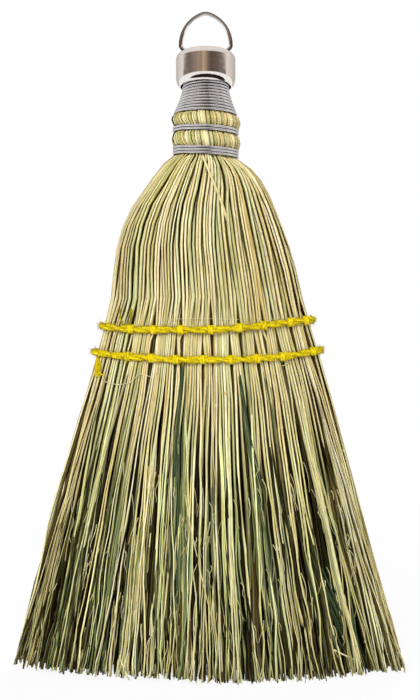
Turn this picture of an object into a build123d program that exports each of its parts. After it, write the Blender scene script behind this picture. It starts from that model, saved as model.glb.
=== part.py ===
from build123d import *
import math
import os

# A whisk broom of broomcorn, in millimetres and degrees. +Z is up, the trimmed tips lie at z = 0,
# the broad front faces -Y and the neck stands on the Z axis.

# Corn fan: heights above the tips, and half sizes at each height
FAN_HEIGHT = 203.0
SHOULDER_HEIGHT = 180.0
SHOULDER_HALF_WIDTH = 30.2
SHOULDER_HALF_DEPTH = 16.0
SEWN_HALF_WIDTH = 43.4  # midway between the two rows
SEWN_HALF_DEPTH = 13.0
TIP_HALF_WIDTH = 78.0
TIP_HALF_DEPTH = 18.5
FLARE = 0.55           # power of the curve from the neck out to the shoulder
BELLY = 0.8            # power of the curve from the shoulder down to the sewn rows
CROWN = 0.7            # share of the depth that the sewn oval loses at its two ends
END_ROUNDING = 0.05    # share of the width that the oval's four corners lose
END_POWER = 8          # how late towards the ends that rounding sets in
CORNER_ANGLE = 25.0    # where the corners of the strand grid lie on the round neck
ROOT_ROUNDNESS = 1.0   # 1 is the round neck, 0 the flat oval of the sewn rows
DOME_STEPS = ((0.12, 0.85), (0.42, 0.6), (1.0, 0.3))  # share of the way to the shoulder, roundness
BELLY_STEP = (0.4, 0.12)                              # share of the way to the rows, roundness

# Strands: tufts between the stitches, strands across a tuft, rows from front to back
TUFTS = 9
TUFT_STRANDS = 4
ROWS = 9
BOUND_FILL = 0.78      # share of their pitch that strands fill where they are bound
TIP_FILL = 0.44
STRAND_ASPECT = 1.4    # most thickness to width of a strand
ROOT_DEPTH = 1.4       # how far the strands run up into the bound neck
ROOT_MARGIN = 0.4      # from a strand's centre at its root to the faces of its bundle
ROW_LEANS = (0, 1, 0, -1)  # sideways set of four rows, so that strands lie over the gaps between others

# Bound neck: stalk sections between the wires, from the bottom up
NECK_RADIUS = 12.0
NECK_TOP_RADIUS = 7.8
BAND_FOOT = 1.0
LOWER_SECTION = 5.6
UPPER_SECTION = 4.6
LOWER_BULGE = 1.6
UPPER_BULGE = 1.1
BULGE_SHARES = (0.0, 0.2, 0.5, 0.8, 1.0)  # heights in a section at which its swelling is drawn
NECK_TOP_REACH = 5.0   # stalk ends above the winding, inside the cap
NECK_RIBS = 40
RIB_SHARE = 0.035      # depth of the furrows between stalks, as a share of the radius
SIDE_RIBS = 8          # ribs of a side bundle, the front and back bundles share the rest
CORE_RADIUS = 6.0
BUNDLE_GAP = 0.25

# Binding wire
WIRE_DIA = 0.85
WIRE_GAP = 0.43
WIRE_SEAT = 0.1        # from a wire to the stalks under it
NECK_TURNS = 11.0
MIDDLE_TURNS = 1.25
LOWER_TURNS = 2.0
TIE_TURNS = 4.0
TIE_RISE = 8.0         # height of the hidden tie above the foot of the neck
WIRE_START = 90.0      # angle at which each wire starts, at the back
TURN_NUDGE = 1e-4      # share of a turn over which a winding's direction is taken
GAP_STEPS = 72         # points on a turn when a winding's gap to itself is measured

# Yellow twine: two sewn rows
UPPER_ROW = 136.0
LOWER_ROW = 124.8
TWINE_DIA = 2.4
STITCH_DIA = 1.2
TWINE_SEAT = 0.12      # from twine to the corn under it
STITCH_SEAT = 0.15     # from a stitch to the cord in it
STITCH_ROOM = 0.4      # from a stitch to the strands beside it
OVAL_END_RADIUS = 6.0
OVAL_STEP = 0.05       # step by which an oval grows until it holds the corn
TAIL_DIA = 1.8
UPPER_TAIL_X = -29.0
UPPER_TAIL_LENGTH = 7.0
LOWER_TAIL_X = -42.0
LOWER_TAIL_LENGTH = 10.0
TAIL_BEND = 1.6        # sideways bend at the middle of a tail

# Cap
CAP_RADIUS = 11.9
CAP_HEIGHT = 13.2
CAP_WALL = 0.5
CAP_SHOULDER = 2.6
LIP_HEIGHT = 4.0
LIP_CLEARANCE = 0.35
COVERED_TURNS = 2.4    # turns of the winding that the cap hides

# Ring: half widths, and heights above its straight bar
RING_WIRE = 1.6
RING_CLEARANCE = 0.25
RING_SWING = 45.0
LEG_HALF_WIDTH = 8.4
LEG_HEIGHT = 3.0
LOOP_HALF_WIDTH = 10.0
LOOP_HEIGHT = 4.4
LOOP_STRAIGHT = 0.1    # straight run below the loop's arcs
LOOP_PEAK = 17.7
PEAK_RADIUS = 4.6      # of the rounded point
BAR_FILLET = 1.2
LEG_FILLET = 1.6
LOOP_FILLET = 1.6

# Heights and radii that follow from the sizes above
PITCH = WIRE_DIA + WIRE_GAP
SEWN_HEIGHT = (UPPER_ROW + LOWER_ROW) / 2
SEWN_LEAN = (TIP_HALF_WIDTH - SEWN_HALF_WIDTH) / SEWN_HEIGHT
STITCH_REACH = TWINE_DIA / 2 + STITCH_SEAT + STITCH_DIA
LOWER_BAND_Z = FAN_HEIGHT + BAND_FOOT
LOWER_SECTION_Z = LOWER_BAND_Z + LOWER_TURNS * PITCH + WIRE_DIA
MIDDLE_BAND_Z = LOWER_SECTION_Z + LOWER_SECTION
UPPER_SECTION_Z = MIDDLE_BAND_Z + MIDDLE_TURNS * PITCH + WIRE_DIA
WINDING_Z = UPPER_SECTION_Z + UPPER_SECTION
WINDING_TOP = WINDING_Z + NECK_TURNS * PITCH + WIRE_DIA
NECK_TOP = WINDING_TOP + NECK_TOP_REACH
LIP_Z = WINDING_TOP - COVERED_TURNS * PITCH
CAP_TOP = LIP_Z + CAP_HEIGHT
BAR_Z = CAP_TOP - CAP_WALL - RING_CLEARANCE - RING_WIRE / 2
BORE_RADIUS = CORE_RADIUS + WIRE_SEAT + WIRE_DIA + BUNDLE_GAP
ROOT_RADIUS = NECK_RADIUS * (1 - RIB_SHARE) - ROOT_MARGIN
RIB_ANGLE = 360 / NECK_RIBS
SIDE_ANGLE = SIDE_RIBS * RIB_ANGLE / 2


def taper_radius(z):
    """Radius of the stalks under the neck winding, which narrows towards the cap."""
    share = (z - WINDING_Z) / (WINDING_TOP - WINDING_Z)
    return NECK_RADIUS + (NECK_TOP_RADIUS - NECK_RADIUS) * share


def bulge_stations(z, height, bulge):
    """Heights and radii of a stalk section that swells between two wires."""
    return [
        (z + height * share, NECK_RADIUS + bulge * math.sqrt(math.sin(math.pi * share)))
        for share in BULGE_SHARES
    ]


def neck_stations():
    """Heights and radii of the bound stalks, from the foot of the neck to the top."""
    stations = [(FAN_HEIGHT, NECK_RADIUS)]
    stations += bulge_stations(LOWER_SECTION_Z, LOWER_SECTION, LOWER_BULGE)
    stations += bulge_stations(UPPER_SECTION_Z, UPPER_SECTION, UPPER_BULGE)
    stations += [(WINDING_TOP, NECK_TOP_RADIUS), (NECK_TOP, NECK_TOP_RADIUS)]
    return stations


# Bundles: each is a sector of the neck between two angles, round the core
SECTORS = {
    "right_shoulder_corn": (-SIDE_ANGLE, SIDE_ANGLE),
    "back_cover_corn": (SIDE_ANGLE, 180 - SIDE_ANGLE),
    "left_shoulder_corn": (180 - SIDE_ANGLE, 180 + SIDE_ANGLE),
    "front_cover_corn": (180 + SIDE_ANGLE, 360 - SIDE_ANGLE),
}


def polar(radius, angle, z):
    """A point from a radius and an angle in degrees."""
    return Vector(radius * math.cos(math.radians(angle)), radius * math.sin(math.radians(angle)), z)


def sector_outline(start, end, radius, z):
    """Outline of one bundle at a height: furrowed outside, round inside, clear of its neighbours."""
    def edge_angle(r):
        return math.degrees(math.asin(BUNDLE_GAP / 2 / r))

    valley = radius * (1 - RIB_SHARE)
    steps = 2 * round((end - start) / RIB_ANGLE)
    angles = [start + (end - start) * i / steps for i in range(steps + 1)]
    angles[0] += edge_angle(valley)
    angles[-1] -= edge_angle(valley)
    outer = [polar(radius if i % 2 else valley, a, z) for i, a in enumerate(angles)]
    inner_steps = max(2, steps // 4)
    inset = edge_angle(BORE_RADIUS)
    span = end - start - 2 * inset
    inner = [polar(BORE_RADIUS, end - inset - span * i / inner_steps, z) for i in range(inner_steps + 1)]
    return Wire.make_polygon(outer + inner, close=True)


def bundle_neck(start, end):
    """The bound stalks of one bundle."""
    outlines = [sector_outline(start, end, radius, z) for z, radius in neck_stations()]
    return Solid.make_loft(outlines, ruled=True)


class Level:
    """One height of the corn, with the oval that the strands fill there."""

    def __init__(self, z, half_width, half_depth, roundness, fill, reach=None):
        self.z = z
        self.half_width = half_width
        self.half_depth = half_depth
        self.roundness = roundness
        self.fill = fill
        self.reach = reach or (TUFT_STRANDS - 1) / TUFT_STRANDS
        self.stagger = 0 if reach else 1 / TUFT_STRANDS

    def strand_width(self):
        """Width of a strand, from the pitch of the strands across a tuft."""
        return self.fill * 2 * self.reach * self.half_width / TUFTS / (TUFT_STRANDS - 1)

    def row_pitch(self, u):
        """Distance from row to row, which shrinks towards the ends of the oval."""
        return 2 * self.half_depth * (1 - CROWN * u * u) / (ROWS - 1)

    def spot(self, u, v):
        """Place of a strand, from its share of the width and of the depth."""
        corner = math.radians(CORNER_ANGLE)
        round_x = u * math.sqrt(1 - (math.sin(corner) * v) ** 2)
        round_y = v * math.sqrt(1 - (math.cos(corner) * u) ** 2)
        flat_x = u * (1 - END_ROUNDING * u ** END_POWER * v * v)
        flat_y = v * (1 - CROWN * u * u)
        x = flat_x + (round_x - flat_x) * self.roundness
        y = flat_y + (round_y - flat_y) * self.roundness
        return self.half_width * x, self.half_depth * y


def sewn_reach(half_width):
    """Share of a tuft that its strands may fill, so that a stitch passes between two tufts."""
    half_tuft = half_width / TUFTS
    channel = STITCH_DIA / 2 + STITCH_ROOM
    return (half_tuft - channel) / (1 + BOUND_FILL / (TUFT_STRANDS - 1)) / half_tuft


def corn_levels():
    """Levels that the strands pass through, from their roots in the neck down to the tips."""
    levels = [
        Level(FAN_HEIGHT + ROOT_DEPTH, ROOT_RADIUS, ROOT_RADIUS, ROOT_ROUNDNESS, BOUND_FILL),
        Level(FAN_HEIGHT - WIRE_SEAT, ROOT_RADIUS, ROOT_RADIUS, ROOT_ROUNDNESS, BOUND_FILL),
    ]
    for share, roundness in DOME_STEPS:
        z = FAN_HEIGHT + (SHOULDER_HEIGHT - FAN_HEIGHT) * share
        out = share ** FLARE
        width = ROOT_RADIUS + (SHOULDER_HALF_WIDTH - ROOT_RADIUS) * out
        depth = ROOT_RADIUS + (SHOULDER_HALF_DEPTH - ROOT_RADIUS) * out
        levels.append(Level(z, width, depth, roundness, BOUND_FILL))
    sewn_top = UPPER_ROW + STITCH_REACH
    sewn_foot = LOWER_ROW - STITCH_REACH
    top_width = SEWN_HALF_WIDTH - SEWN_LEAN * (sewn_top - SEWN_HEIGHT)
    foot_width = SEWN_HALF_WIDTH + SEWN_LEAN * (SEWN_HEIGHT - sewn_foot)
    share, roundness = BELLY_STEP
    z = SHOULDER_HEIGHT + (sewn_top - SHOULDER_HEIGHT) * share
    width = SHOULDER_HALF_WIDTH + (top_width - SHOULDER_HALF_WIDTH) * share ** BELLY
    depth = SHOULDER_HALF_DEPTH + (SEWN_HALF_DEPTH - SHOULDER_HALF_DEPTH) * share
    levels.append(Level(z, width, depth, roundness, BOUND_FILL))
    for z, width in ((sewn_top, top_width), (sewn_foot, foot_width)):
        levels.append(Level(z, width, SEWN_HALF_DEPTH, 0.0, BOUND_FILL, sewn_reach(width)))
    levels.append(Level(0.0, TIP_HALF_WIDTH, TIP_HALF_DEPTH, 0.0, TIP_FILL))
    return levels


LEVELS = corn_levels()


def bundle_of(x, y):
    """Name of the bundle that holds a root, and the root's place clear of the bundle's faces."""
    radius = math.hypot(x, y)
    angle = (math.degrees(math.atan2(y, x)) + SIDE_ANGLE) % 360 - SIDE_ANGLE
    split = (CORE_RADIUS + BORE_RADIUS) / 2
    if radius < split:
        return "inside_corn", polar(radius * (CORE_RADIUS - ROOT_MARGIN) / split, angle, 0)
    inner = BORE_RADIUS + ROOT_MARGIN
    radius = inner + (radius - split) * (ROOT_RADIUS - inner) / (ROOT_RADIUS - split)
    name = next(n for n, (start, end) in SECTORS.items() if start <= angle < end)
    start, end = SECTORS[name]
    margin = math.degrees((ROOT_MARGIN + BUNDLE_GAP / 2) / inner)
    angle = start + margin + (angle - start) * (end - start - 2 * margin) / (end - start)
    return name, polar(radius, angle, 0)


class Strand:
    """One strand of corn: a ridged three-sided stalk through all the levels."""

    def __init__(self, tuft, column, row):
        self.tuft_centre = (2 * tuft + 1) / TUFTS - 1
        self.offset = 2 * column / (TUFT_STRANDS - 1) - 1
        self.v = 2 * row / (ROWS - 1) - 1
        self.lean = ROW_LEANS[row % len(ROW_LEANS)]
        self.bundle, self.root = bundle_of(*LEVELS[0].spot(self.share(LEVELS[0]), self.v))
        self.ridge = Vector(0, 1 if self.v > 0 else -1, 0)
        self.across = Vector(1, 0, 0)
        tightest = min(lv.fill * lv.row_pitch(self.share(lv)) / lv.strand_width() for lv in LEVELS)
        self.aspect = min(STRAND_ASPECT, tightest)

    def share(self, level):
        """Share of the width at which the strand lies on a level, with every second row set over."""
        return self.tuft_centre + (self.offset * level.reach + self.lean * level.stagger) / TUFTS

    def corners(self, level):
        """The three corners of the strand on a level, its ridge first."""
        if level.roundness == ROOT_ROUNDNESS:
            centre = Vector(self.root.X, self.root.Y, level.z)
        else:
            centre = Vector(*level.spot(self.share(level), self.v), level.z)
        width = level.strand_width()
        depth = width * self.aspect
        base = centre - self.ridge * depth / 3
        half = self.across * width / 2
        return [base + self.ridge * depth, base + half, base - half]

    def corners_at(self, z):
        """The three corners at any height, on the straight runs between two levels."""
        upper, lower = next((a, b) for a, b in zip(LEVELS, LEVELS[1:]) if b.z <= z)
        share = (upper.z - z) / (upper.z - lower.z)
        return [a + (b - a) * share for a, b in zip(self.corners(upper), self.corners(lower))]

    def solid(self):
        """The strand as flat faces from level to level: its sections have parallel sides."""
        rings = [self.corners(level) for level in LEVELS]
        outlines = [rings[0], rings[-1]]
        for upper, lower in zip(rings, rings[1:]):
            outlines += [[upper[i - 1], upper[i], lower[i], lower[i - 1]] for i in range(3)]
        return Solid(Shell([Face(Wire.make_polygon(outline, close=True)) for outline in outlines]))


STRANDS = [
    Strand(tuft, column, row)
    for row in range(ROWS) for tuft in range(TUFTS) for column in range(TUFT_STRANDS)
]


def corn_bundles():
    """Each bundle's bound neck with its strands, by name."""
    necks = {name: bundle_neck(*angles) for name, angles in SECTORS.items()}
    core = Cylinder(CORE_RADIUS, NECK_TOP - FAN_HEIGHT, align=(Align.CENTER, Align.CENTER, Align.MIN))
    necks["inside_corn"] = Pos(0, 0, FAN_HEIGHT) * core
    bundles = {}
    for name, neck in necks.items():
        bundles[name] = neck.fuse(*[s.solid() for s in STRANDS if s.bundle == name])
    return bundles


def biarc(p0, t0, p1, t1):
    """Two arcs that leave p0 along t0 and reach p1 along t1."""
    v = p1 - p0
    t = t0 + t1
    k = 2 * (1 - t0.dot(t1))
    d = (math.sqrt(v.dot(t) ** 2 + k * v.dot(v)) - v.dot(t)) / k
    joint = (p0 + t0 * d + p1 - t1 * d) * 0.5
    first = Edge.make_tangent_arc(p0, t0, joint)
    return [first, Edge.make_tangent_arc(joint, first.tangent_at(1), p1)]


def wire_winding(name, z, turns, stalk_radius):
    """Wire wound upwards from a height, round stalks whose radius is a function of the height."""
    def point(turn):
        height = z + WIRE_DIA / 2 + PITCH * turn
        return polar(stalk_radius(height) + WIRE_SEAT + WIRE_DIA / 2, WIRE_START + 360 * turn, height)

    def tangent(turn):
        return (point(turn + TURN_NUDGE) - point(turn - TURN_NUDGE)).normalized()

    quarters = [i / 4 for i in range(round(4 * turns) + 1)]
    first, last = quarters[0], quarters[-1]
    edges = [Edge.make_line(point(first) - tangent(first) * WIRE_DIA, point(first))]
    for a, b in zip(quarters, quarters[1:]):
        edges += biarc(point(a), tangent(a), point(b), tangent(b))
    edges.append(Edge.make_line(point(last), point(last) + tangent(last) * WIRE_DIA))
    path = Wire(edges)
    points = [tuple(point(i / GAP_STEPS)) for i in range(round(last * GAP_STEPS) + 1)]
    pairs = [(a, b) for i, a in enumerate(points) for b in points[i + GAP_STEPS // 2:i + 2 * GAP_STEPS]]
    least_gap = min(math.dist(a, b) for a, b in pairs) - WIRE_DIA
    print(name, "least gap to itself:", round(least_gap, 3), "mm")
    return sweep(Plane(path @ 0, z_dir=path % 0) * Circle(WIRE_DIA / 2), path)


class TwineRow:
    """One sewn row: an oval cord round the corn, and stitches through it between the tufts."""

    def __init__(self, z):
        self.z = z
        reach = TWINE_DIA / 2 + TWINE_SEAT
        heights = (z - TWINE_DIA / 2, z, z + TWINE_DIA / 2)
        corners = [c for s in STRANDS for h in heights for c in s.corners_at(h)]
        self.length = max(c.X for c in corners)
        self.depth = max(c.Y for c in corners)
        while not all(self.holds(c.X, c.Y) for c in corners):
            self.length += OVAL_STEP
            self.depth += OVAL_STEP
        self.length += reach
        self.depth += reach
        self.end_radius = OVAL_END_RADIUS + reach
        self.front_radius = self.radius_for(self.end_radius)

    def radius_for(self, end_radius):
        """Radius of the long arcs, tangent to end arcs of a given radius."""
        run = self.length - end_radius
        return (run * run / (self.depth - end_radius) + end_radius + self.depth) / 2

    def holds(self, x, y):
        """Whether a point lies inside the oval that the corn fills."""
        centre_x = self.length - OVAL_END_RADIUS
        front = self.radius_for(OVAL_END_RADIUS)
        if math.hypot(abs(x), front - self.depth + abs(y)) > front:
            return False
        return abs(x) <= centre_x or math.hypot(abs(x) - centre_x, y) <= OVAL_END_RADIUS

    def cord_y(self, x):
        """Distance of the cord's centre from the middle plane, where the long arc passes."""
        return math.sqrt(self.front_radius ** 2 - x * x) - (self.front_radius - self.depth)

    def cord(self):
        """The cord: an oval of four tangent arcs."""
        rise = self.front_radius - self.depth
        run = self.length - self.end_radius
        reach = self.front_radius / (self.front_radius - self.end_radius)
        joint_x = run * reach
        joint_y = rise * reach - rise
        corners = [(joint_x, -joint_y), (joint_x, joint_y), (-joint_x, joint_y), (-joint_x, -joint_y)]
        middles = [(self.length, 0), (0, self.depth), (-self.length, 0), (0, -self.depth)]
        edges = []
        for i, middle in enumerate(middles):
            points = [Vector(*p, self.z) for p in (corners[i], middle, corners[(i + 1) % 4])]
            edges.append(Edge.make_three_point_arc(*points))
        path = Wire(edges)
        return sweep(Plane(path @ 0, z_dir=path % 0) * Circle(TWINE_DIA / 2), path)

    def stitches(self):
        """Loops round the cord at the front and the back, joined straight through the corn."""
        upper, lower = next((a, b) for a, b in zip(LEVELS, LEVELS[1:]) if b.z <= self.z)
        lean = (lower.half_width - upper.half_width) / (upper.z - lower.z)
        solids = []
        for i in range(1, TUFTS):
            u = 2 * i / TUFTS - 1
            x = u * (upper.half_width + (upper.z - self.z) * lean)
            y = self.cord_y(x)
            skew = math.asin(x / self.front_radius)
            loop = TWINE_DIA / 2 / math.cos(skew) + STITCH_SEAT + STITCH_DIA / 2
            top = Edge.make_line((0, -y, loop), (0, y, loop))
            back = Edge.make_three_point_arc((0, y, loop), (0, y + loop, 0), (0, y, -loop))
            bottom = Edge.make_line((0, y, -loop), (0, -y, -loop))
            front = Edge.make_three_point_arc((0, -y, -loop), (0, -y - loop, 0), (0, -y, loop))
            path = Wire([top, back, bottom, front])
            stitch = sweep(Plane(path @ 0, z_dir=path % 0) * Circle(STITCH_DIA / 2), path)
            solids.append(Pos(x, 0, self.z) * Rot(0, -math.degrees(math.atan(u * lean)), 0) * stitch)
        return solids

    def tail(self, x, length, side):
        """A loose end of twine that lies on the corn, above the cord (side 1) or below it (side -1)."""
        start = self.z + side * (TWINE_DIA / 2 + TWINE_SEAT + TAIL_DIA / 2)
        points = []
        for share, bend in ((0, 0), (0.5, TAIL_BEND), (1, 0)):
            z = start + side * length * share
            y = max(abs(c.Y) for s in STRANDS for c in s.corners_at(z) if abs(c.X - x - bend) < TAIL_DIA)
            points.append(Vector(x + bend, -y - TWINE_SEAT - TAIL_DIA / 2, z))
        path = FilletPolyline(*points, radius=TAIL_DIA)
        return sweep(Plane(path @ 0, z_dir=path % 0) * Circle(TAIL_DIA / 2), path)


def cap_body(radius, top, shoulder, lip_arc):
    """A turned body of the cap's outer or inner form, closed at the top and drawn in at the lip."""
    arc_start = LIP_Z + LIP_HEIGHT
    lip_radius = radius - lip_arc + math.sqrt(lip_arc ** 2 - LIP_HEIGHT ** 2)
    side = Line((radius, arc_start), (radius, top - shoulder))
    edge = TangentArc((radius, top - shoulder), (radius - shoulder, top), tangent=(0, 1))
    roof = Line((radius - shoulder, top), (0, top))
    crimp = TangentArc((radius, arc_start), (lip_radius, LIP_Z), tangent=(0, -1))
    mouth = Line((lip_radius, LIP_Z), (0, LIP_Z))
    middle = Line((0, LIP_Z), (0, top))
    outline = Plane.XZ * make_face([side, edge, roof, middle, mouth, crimp])
    return revolve(outline, Axis.Z)


def cap_shell():
    """Pressed cap with a crimped lip, and two slots for the legs of the ring."""
    lip_bore = taper_radius(LIP_Z - PITCH / 2) + WIRE_SEAT + WIRE_DIA + LIP_CLEARANCE
    draw_in = CAP_RADIUS - CAP_WALL - lip_bore
    inner_arc = (draw_in ** 2 + LIP_HEIGHT ** 2) / (2 * draw_in)
    outer = cap_body(CAP_RADIUS, CAP_TOP, CAP_SHOULDER, inner_arc + CAP_WALL)
    inner = cap_body(CAP_RADIUS - CAP_WALL, CAP_TOP - CAP_WALL, CAP_SHOULDER - CAP_WALL, inner_arc)
    swing = math.radians(RING_SWING)
    plate = CAP_TOP - BAR_Z
    half_length = plate * math.tan(swing) + RING_WIRE / 2 / math.cos(swing) + RING_CLEARANCE
    slot_width = RING_WIRE + 2 * RING_CLEARANCE
    slot = Rot(0, 0, 90) * extrude(SlotOverall(2 * half_length, slot_width), CAP_SHOULDER, both=True)
    shell = outer - inner
    for x in (-LEG_HALF_WIDTH, LEG_HALF_WIDTH):
        shell -= Pos(x, 0, CAP_TOP) * slot
    return shell


def hanger_ring():
    """Wire ring: a straight bar under the cap's roof, two legs through its slots and a pointed loop."""
    turn = math.atan2(LOOP_HALF_WIDTH - LEG_HALF_WIDTH, LOOP_HEIGHT - LEG_HEIGHT)
    arc_height = LOOP_HEIGHT + LOOP_FILLET * math.tan(turn / 2) + LOOP_STRAIGHT
    right = [
        (LEG_HALF_WIDTH, 0),
        (LEG_HALF_WIDTH, LEG_HEIGHT),
        (LOOP_HALF_WIDTH, LOOP_HEIGHT),
        (LOOP_HALF_WIDTH, arc_height),
    ]
    left = [(-x, z) for x, z in reversed(right)]
    fillets = [LOOP_FILLET, LEG_FILLET, BAR_FILLET]
    foot = FilletPolyline(*[(x, 0, BAR_Z + z) for x, z in left + right], radius=fillets + fillets[::-1])
    rise = LOOP_PEAK - PEAK_RADIUS - arc_height
    narrowing = LOOP_HALF_WIDTH - PEAK_RADIUS
    side_radius = (rise ** 2 / narrowing + LOOP_HALF_WIDTH + PEAK_RADIUS) / 2
    reach = PEAK_RADIUS / (side_radius - PEAK_RADIUS)
    peak_x = (side_radius - LOOP_HALF_WIDTH) * reach
    peak_z = BAR_Z + arc_height + rise * (1 + reach)
    sides = [Edge.make_tangent_arc(foot @ 1, foot % 1, (peak_x, 0, peak_z))]
    for end in ((-peak_x, 0, peak_z), foot @ 0):
        sides.append(Edge.make_tangent_arc(sides[-1] @ 1, sides[-1] % 1, end))
    path = Wire(foot.edges() + sides)
    return sweep(Plane(path @ 0, z_dir=path % 0) * Circle(RING_WIRE / 2), path)


def all_nodes():
    """Every node of the broom, by name."""
    upper = TwineRow(UPPER_ROW)
    lower = TwineRow(LOWER_ROW)
    nodes = corn_bundles()
    nodes["cap_shell"] = cap_shell()
    nodes["hanger_ring"] = hanger_ring()
    nodes["neck_winding"] = wire_winding("neck_winding", WINDING_Z, NECK_TURNS, taper_radius)
    nodes["middle_wire_band"] = wire_winding(
        "middle_wire_band", MIDDLE_BAND_Z, MIDDLE_TURNS, lambda z: NECK_RADIUS)
    nodes["lower_wire_band"] = wire_winding(
        "lower_wire_band", LOWER_BAND_Z, LOWER_TURNS, lambda z: NECK_RADIUS)
    nodes["inner_tie_wire"] = wire_winding(
        "inner_tie_wire", FAN_HEIGHT + TIE_RISE, TIE_TURNS, lambda z: CORE_RADIUS)
    nodes["upper_twine_band"] = upper.cord()
    nodes["lower_twine_band"] = lower.cord()
    nodes["upper_stitches"] = Compound(children=upper.stitches())
    nodes["lower_stitches"] = Compound(children=lower.stitches())
    nodes["twine_tails"] = Compound(children=[
        upper.tail(UPPER_TAIL_X, UPPER_TAIL_LENGTH, 1),
        lower.tail(LOWER_TAIL_X, LOWER_TAIL_LENGTH, -1),
    ])
    return nodes


os.makedirs("parts", exist_ok=True)
for node_name, shape in all_nodes().items():
    export_step(shape, f"parts/{node_name}.step")
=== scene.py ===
import math
from types import SimpleNamespace as Values

import bpy
import numpy as np
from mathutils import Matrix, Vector

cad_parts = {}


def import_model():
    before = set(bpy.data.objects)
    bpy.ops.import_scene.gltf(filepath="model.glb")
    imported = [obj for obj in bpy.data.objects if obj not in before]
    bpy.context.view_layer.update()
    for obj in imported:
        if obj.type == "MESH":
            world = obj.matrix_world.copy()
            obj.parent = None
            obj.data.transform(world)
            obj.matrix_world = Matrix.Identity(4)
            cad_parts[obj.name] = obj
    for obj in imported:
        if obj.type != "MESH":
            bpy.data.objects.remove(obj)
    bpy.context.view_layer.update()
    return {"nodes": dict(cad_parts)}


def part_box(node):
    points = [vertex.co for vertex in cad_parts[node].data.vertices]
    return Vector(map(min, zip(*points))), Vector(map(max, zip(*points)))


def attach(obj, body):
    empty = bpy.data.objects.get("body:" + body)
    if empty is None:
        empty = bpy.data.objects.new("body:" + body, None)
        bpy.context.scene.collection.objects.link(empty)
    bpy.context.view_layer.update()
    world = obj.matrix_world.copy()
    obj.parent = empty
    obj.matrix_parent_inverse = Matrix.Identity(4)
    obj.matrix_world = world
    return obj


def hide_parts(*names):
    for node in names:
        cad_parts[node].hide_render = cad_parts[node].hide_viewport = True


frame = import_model()
rng = np.random.default_rng(seed=11)

# Sizes are in millimetres and degrees. Meshes are scaled to metres when they are made.
MM = 0.001

# Camera: level, a little to the right of the broom's axis
CAMERA = Values(x=1.7, distance=350.0, height=126.8, lens=45.0, sensor=36.0, near=10.0)

# Lights: place, size of the square and power in watts
LIGHTS = {
    "key": ((-240, -660, 500), 320, 6.8),
    "fill": ((460, -560, 200), 460, 1.7),
    "back": ((260, 680, 480), 460, 5.0),
}
LIGHT_AIM = (0, 0, 110)
AMBIENT = 0.16

# Fan: heights above the tips, with the half width and half depth of the corn
FAN = [
    (0, 77.4, 19.0), (60, 62.0, 17.4), (107, 49.3, 15.6), (131, 42.2, 15.0), (147, 38.2, 15.8),
    (163, 35.6, 16.6), (179, 30.7, 16.8), (187, 26.5, 16.3), (194, 22.4, 15.4), (199, 18.6, 14.4),
    (202, 15.2, 13.2),
]
# How far it leans to the right, and how far its section has turned from a flat oval to a circle
FAN_LEAN = [
    (0, 1.2), (20, 1.1), (50, 0.5), (90, 0.4), (110, 0.9), (131, 0.6), (147, 0.3), (156, -0.2),
    (171, -1.2), (179, -1.3), (187, -0.2), (195, 0.7), (200, 0.7), (204, 0),
]
FAN_ROUNDNESS = [(0, 0.0), (141, 0.0), (164, 0.12), (180, 0.3), (193, 0.6), (200, 0.85), (204, 1.0)]
CROWN = 0.7  # share of the depth that the flat oval loses at its two ends
CORNER_ANGLE = 25.0  # where the corners of the strand grid lie on the round neck
# Heights of the tips from the left to the right of the fan, and how ragged they are
TIP_HEIGHTS = [(-1, 4.0), (-0.86, 2.0), (-0.1, 1.4), (0.1, 0), (0.6, 0), (0.75, 1.0), (1, 0.6)]
TIP_RAGGED = 1.3
SKIRT_START = 8.0  # below the lower row

# Neck: radius of the bound stalks, and how far it was pulled down at the front and on the right
NECK_RADIUS = 12.0
NECK_TOP_RADIUS = 7.8
NECK_BULGE = 2.0  # between the wires
BULGE_SHARES = (0.2, 0.5, 0.8)  # of the way from wire to wire, where the bulge is given
NECK_PINCH = 2.4  # most height that a band pinches
NECK_DIP = 1.5
NECK_TILT = 0.9
NECK_TWIST = 0.012  # lean of the stalks round the neck, in shares of the width for each millimetre
CORE_INSET = 2.0  # from the outside of the neck to its dark inside
CAP_ROOM = 4.0  # over the stalks in the cap

# Layers of stalks
FAN_LAYER = 1.3  # depth of one layer
COVER_LAYERS = 3
COVER_SIDES = (8, 5, 5)  # of the stalks in each layer
SIDE_LAYERS = 2
SIDE_STEP = 0.035  # between the side layers, as a share of the width
SIDE_REACH = 0.92  # of the side layers, as a share of the depth
SIDE_RANK = 0.4  # what their stalks' ranks go up to
INSIDE_ROWS = (-0.55, -0.2, 0.2, 0.55)  # places of the inside rows, as shares of the depth
INSIDE_REACH = 0.95
INSIDE_WIDTH = 2.2
INSIDE_SIDES = 5
INSIDE_SWELL = 1.2  # how much the inside tufts spread towards their tips
GOLDEN_STEP = 0.618034  # spreads the ranks evenly among the stalks
RANK_SHIFT = 7  # of the stalks from layer to layer
LONG_RANK = 0.5  # stalks below this rank go up into the cap
SINK_DEPTH = 1.5  # how far stalks that find no room sink below the outside
SINK_SOFTNESS = 0.14
# Painted shade of the stalks that have sunk
SINK_SHADE = 0.16
SUNK_ROOM = 0.02  # room that a sunk stalk still takes
SKIRT_RINGS = 16
ROW_RINGS = 3
DOME_RINGS = 11
DOME_CROWDING = 1.7  # of the rings towards the neck

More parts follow.
